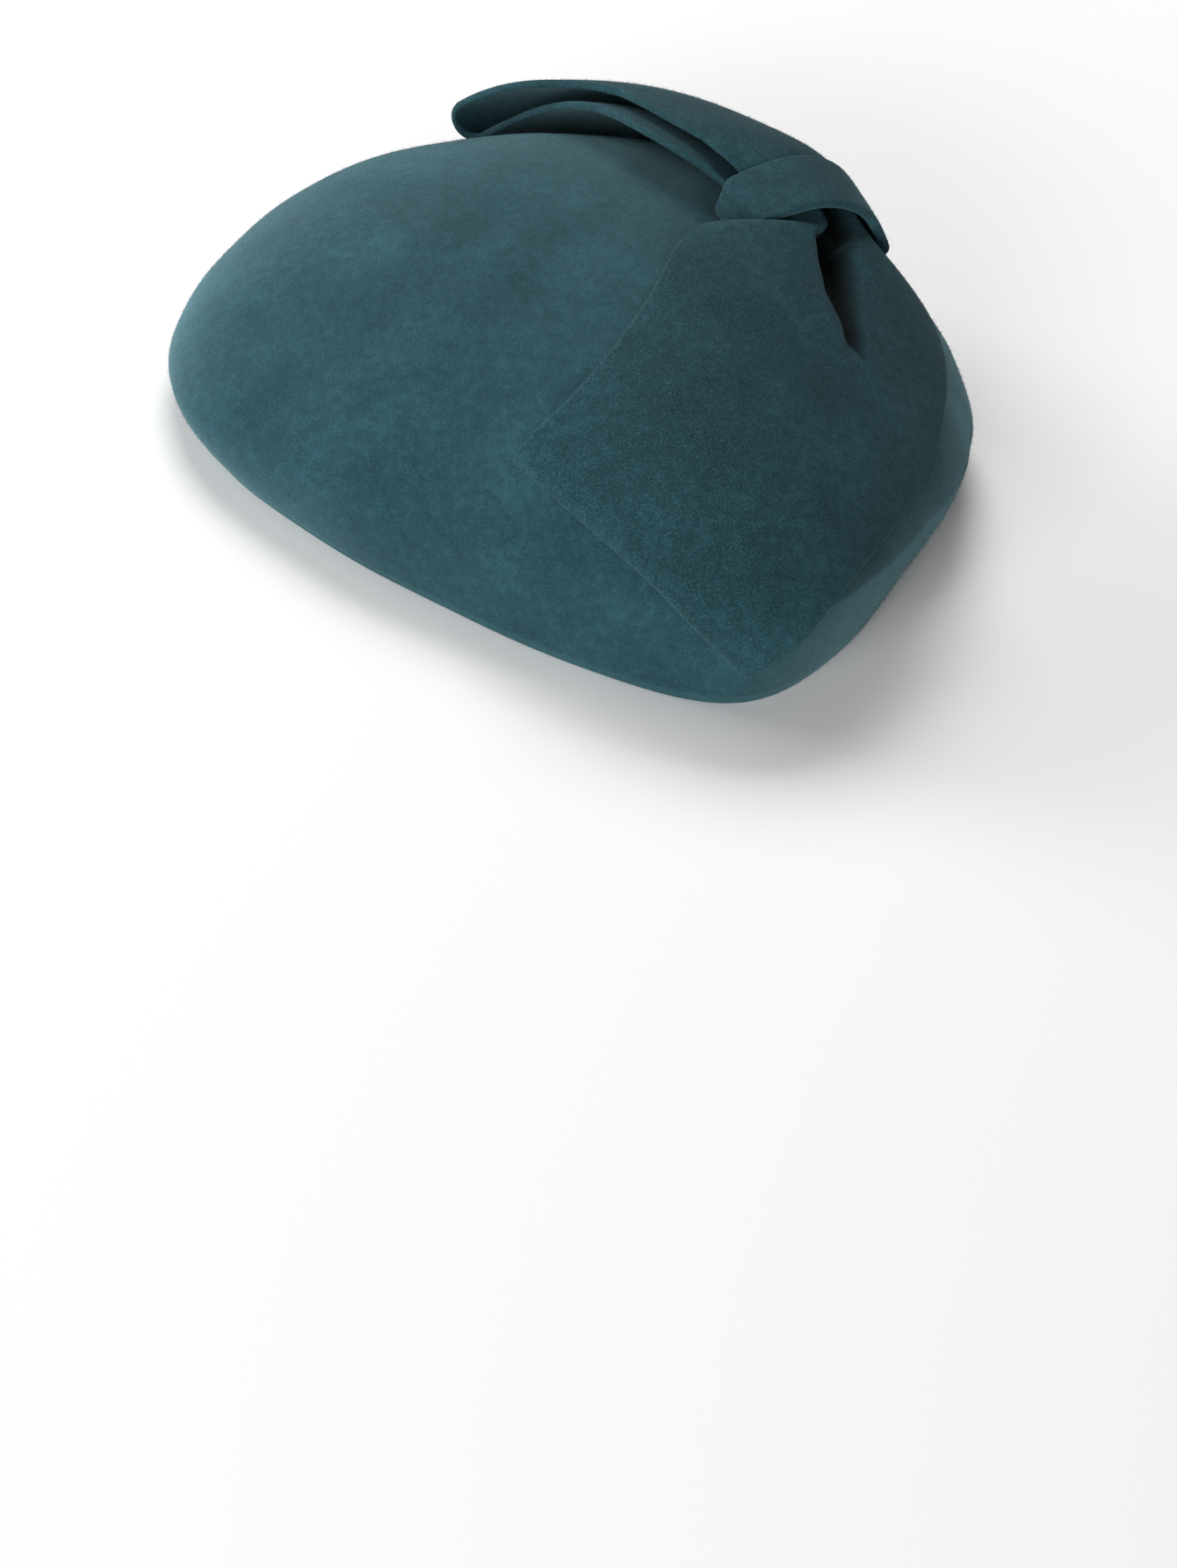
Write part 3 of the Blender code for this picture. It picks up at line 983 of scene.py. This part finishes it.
@dataclass
class KnotBand:
    """The narrow band of felt wrapped once round the waist of the bow."""

    bow: Bow
    width: float = 14 * MM
    felt: float = 2.2 * MM
    steps: int = 220
    flat_columns: int = 15
    edge_share: float = 0.11
    edge_columns: int = 4
    first_run: float = -0.08
    last_run: float = 0.11

    def path(self) -> tuple[np.ndarray, np.ndarray]:
        """The band's line round the gathered felt.

        Returns:
            Distances across and lifts, evenly spaced round the band.
        """
        bow = self.bow
        shares = np.linspace(-1, 1, 16)
        corners = []
        for run in np.linspace(self.first_run, self.last_run, 39):
            for face, side in ((Face.UPPER, 1), (Face.LOWER, -1)):
                across, along, lift = bow.layer(run, shares, face)
                tilt = np.arctan2(np.gradient(lift), np.gradient(across))
                reach = side * bow.felt / 2
                corners += list(zip(across - reach * np.sin(tilt), along, lift + reach * np.cos(tilt)))
        corners = np.array(corners)
        points = corners[np.abs(corners[:, 1]) <= self.width / 2 + bow.felt][:, [0, 2]]
        angles = np.linspace(0, 2 * math.pi, 721)
        out = np.stack([np.cos(angles), np.sin(angles)], 1)
        wrapped = points[np.argmax(out @ points.T, axis=1)] + out * (bow.clear + self.felt / 2)
        walked = np.concatenate([[0], np.cumsum(np.linalg.norm(np.diff(wrapped, axis=0), axis=1))])
        at = np.linspace(0, walked[-1], self.steps, endpoint=False)
        return np.interp(at, walked, wrapped[:, 0]), np.interp(at, walked, wrapped[:, 1])

    def build(self) -> tuple[bpy.types.Object, float]:
        """Builds the band.

        Returns:
            The band's mesh object, and its length in metres.
        """
        across, lift = self.path()
        inner = 1 - self.edge_share
        ends = 1 - self.edge_share * (1 - np.linspace(0, 1, self.edge_columns + 1)[1:]) ** 1.5
        shares = np.concatenate([-ends[::-1], np.linspace(-inner, inner, self.flat_columns), ends])
        places = -shares * self.width / 2
        grid_across, grid_along = np.meshgrid(across, places, indexing="ij")
        grid_lift = np.broadcast_to(lift[:, None], grid_across.shape)
        grid = self.bow.from_knot(grid_across.ravel(), grid_along.ravel(), grid_lift.ravel())
        grid = grid.reshape(*grid_across.shape, 3)
        ring = np.linalg.norm(np.roll(grid, -1, axis=0) - grid, axis=2).sum(axis=0)
        piece = felt_ring("knot_wrap", grid, self.felt, shares, self.edge_share, self.bow.crown.shift)
        return piece, float(ring.mean())


@dataclass(frozen=True)
class Studio:
    """A pale floor, soft light and a camera at the photograph's angle."""

    aim_across: float = 32.3 * MM
    aim_along: float = 21.8 * MM
    distance: float = 1.30
    azimuth: float = math.radians(-28)
    elevation: float = math.radians(30)
    dip: float = math.radians(3.95)
    roll: float = math.radians(14)
    focal_pixels: float = 6370.0
    frame_height_pixels: float = 1785.0
    sky_strength: float = 0.18
    floor_half: float = 4.0
    floor_colour: str = "#f4f4f4"
    floor_roughness: float = 0.9

    def camera(self, shift: np.ndarray) -> None:
        """Places the camera.

        Args:
            shift: Where the middle of the rim lies.
        """
        aim = Vector((self.aim_across + shift[0], self.aim_along + shift[1], 0.0))
        level = math.cos(self.elevation)
        back = Vector((math.sin(self.azimuth) * level, -math.cos(self.azimuth) * level,
                       math.sin(self.elevation)))
        eye = aim + back * self.distance
        right = (-back).cross(Vector((0, 0, 1))).normalized()
        forward = Matrix.Rotation(-self.dip, 3, right) @ -back
        up = right.cross(forward)
        rolled_right = math.cos(self.roll) * right + math.sin(self.roll) * up
        rolled_up = math.cos(self.roll) * up - math.sin(self.roll) * right
        data = bpy.data.cameras.new("camera")
        data.sensor_fit = "VERTICAL"
        data.sensor_height = 36.0
        data.lens = self.focal_pixels / self.frame_height_pixels * data.sensor_height
        camera = bpy.data.objects.new("camera", data)
        turn = Matrix((rolled_right, rolled_up, -forward)).transposed()
        camera.matrix_world = Matrix.Translation(eye) @ turn.to_4x4()
        bpy.context.scene.collection.objects.link(camera)
        bpy.context.scene.camera = camera

    @staticmethod
    def add_light(lamp: AreaLight) -> None:
        """Adds a soft square light.

        Args:
            lamp: The light's name, place, aim, size and power.
        """
        data = bpy.data.lights.new(lamp.name, "AREA")
        data.size = lamp.size
        data.energy = lamp.power
        light = bpy.data.objects.new(lamp.name, data)
        light.location = lamp.place
        line = Vector(lamp.aim) - Vector(lamp.place)
        light.rotation_euler = line.to_track_quat("-Z", "Y").to_euler()
        bpy.context.scene.collection.objects.link(light)

    def add_floor(self) -> None:
        """Lays the pale floor that the hat stands on."""
        half = self.floor_half
        mesh = bpy.data.meshes.new("floor")
        corners = [(-half, -half, 0), (half, -half, 0), (half, half, 0), (-half, half, 0)]
        mesh.from_pydata(corners, [], [(0, 1, 2, 3)])
        floor = bpy.data.objects.new("floor", mesh)
        bpy.context.scene.collection.objects.link(floor)
        paint = bpy.data.materials.new("pale_floor")
        paint.use_nodes = True
        shader = paint.node_tree.nodes["Principled BSDF"]
        shader.inputs["Base Color"].default_value = linear(self.floor_colour)
        shader.inputs["Roughness"].default_value = self.floor_roughness
        shader.inputs["Specular IOR Level"].default_value = 0.0
        mesh.materials.append(paint)

    def build(self, shift: np.ndarray) -> None:
        """Sets the whole studio.

        Args:
            shift: Where the middle of the rim lies.
        """
        self.camera(shift)
        scene = bpy.context.scene
        scene.view_settings.view_transform = "Standard"
        scene.world = bpy.data.worlds.new("studio")
        scene.world.use_nodes = True
        backdrop = scene.world.node_tree.nodes["Background"]
        backdrop.inputs["Color"].default_value = (1.0, 1.0, 1.0, 1.0)
        backdrop.inputs["Strength"].default_value = self.sky_strength
        for lamp in LIGHTS:
            self.add_light(lamp)
        self.add_floor()


def finish_piece(piece: bpy.types.Object, node: str, felt: VelourFelt,
                 nap: RaisedNap) -> None:
    """Dresses a felt piece, grows its nap and ties both to the frame.

    Args:
        piece: The piece.
        node: The CAD node that it stands for.
        felt: The felt's finish.
        nap: The felt's fibres.
    """
    material = felt.material()
    piece.data.materials.append(material)
    fibres = nap.grow(piece, nap.tree(material), piece.name + "_nap")
    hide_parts(node)
    for item in (piece, fibres):
        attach(item, ROOT)
    LOG.info("%s: %d faces, nap %d faces", piece.name, len(piece.data.polygons),
             len(fibres.data.polygons))


def main() -> None:
    """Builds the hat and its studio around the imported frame."""
    logging.basicConfig(level=logging.INFO, format="%(message)s")
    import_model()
    crown = Crown()
    crown.settle(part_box("crown")[0])
    shell = crown.build()
    finish_piece(shell, "crown", VelourFelt("crown_velour_felt"), RaisedNap(seed=3))
    bow = Bow(crown)
    strip, strip_length = bow.build()
    # The bow and the band take the crown's felt painted darker: painted shade for the darker look that
    # their nap gives them in this light.
    shaded_bow_felt = VelourFelt("bow_felt_painted_darker", deep="#0e272d", body="#153239", bloom="#21434b",
                          sheen=0.11, speck_share=0.65)
    shaded_band_felt = VelourFelt("band_felt_painted_darker", deep="#0d242a", body="#142f36", bloom="#1f3f47",
                           sheen=0.24)
    finish_piece(strip, "bow_strip", shaded_bow_felt, RaisedNap(seed=11))
    band = KnotBand(bow)
    wrap, wrap_length = band.build()
    finish_piece(wrap, "knot_band", shaded_band_felt, RaisedNap(seed=19))
    LOG.info("strip %.1f mm long, band %.1f mm long", strip_length / MM, wrap_length / MM)
    Studio().build(crown.shift)


if __name__ == "__main__":
    main()
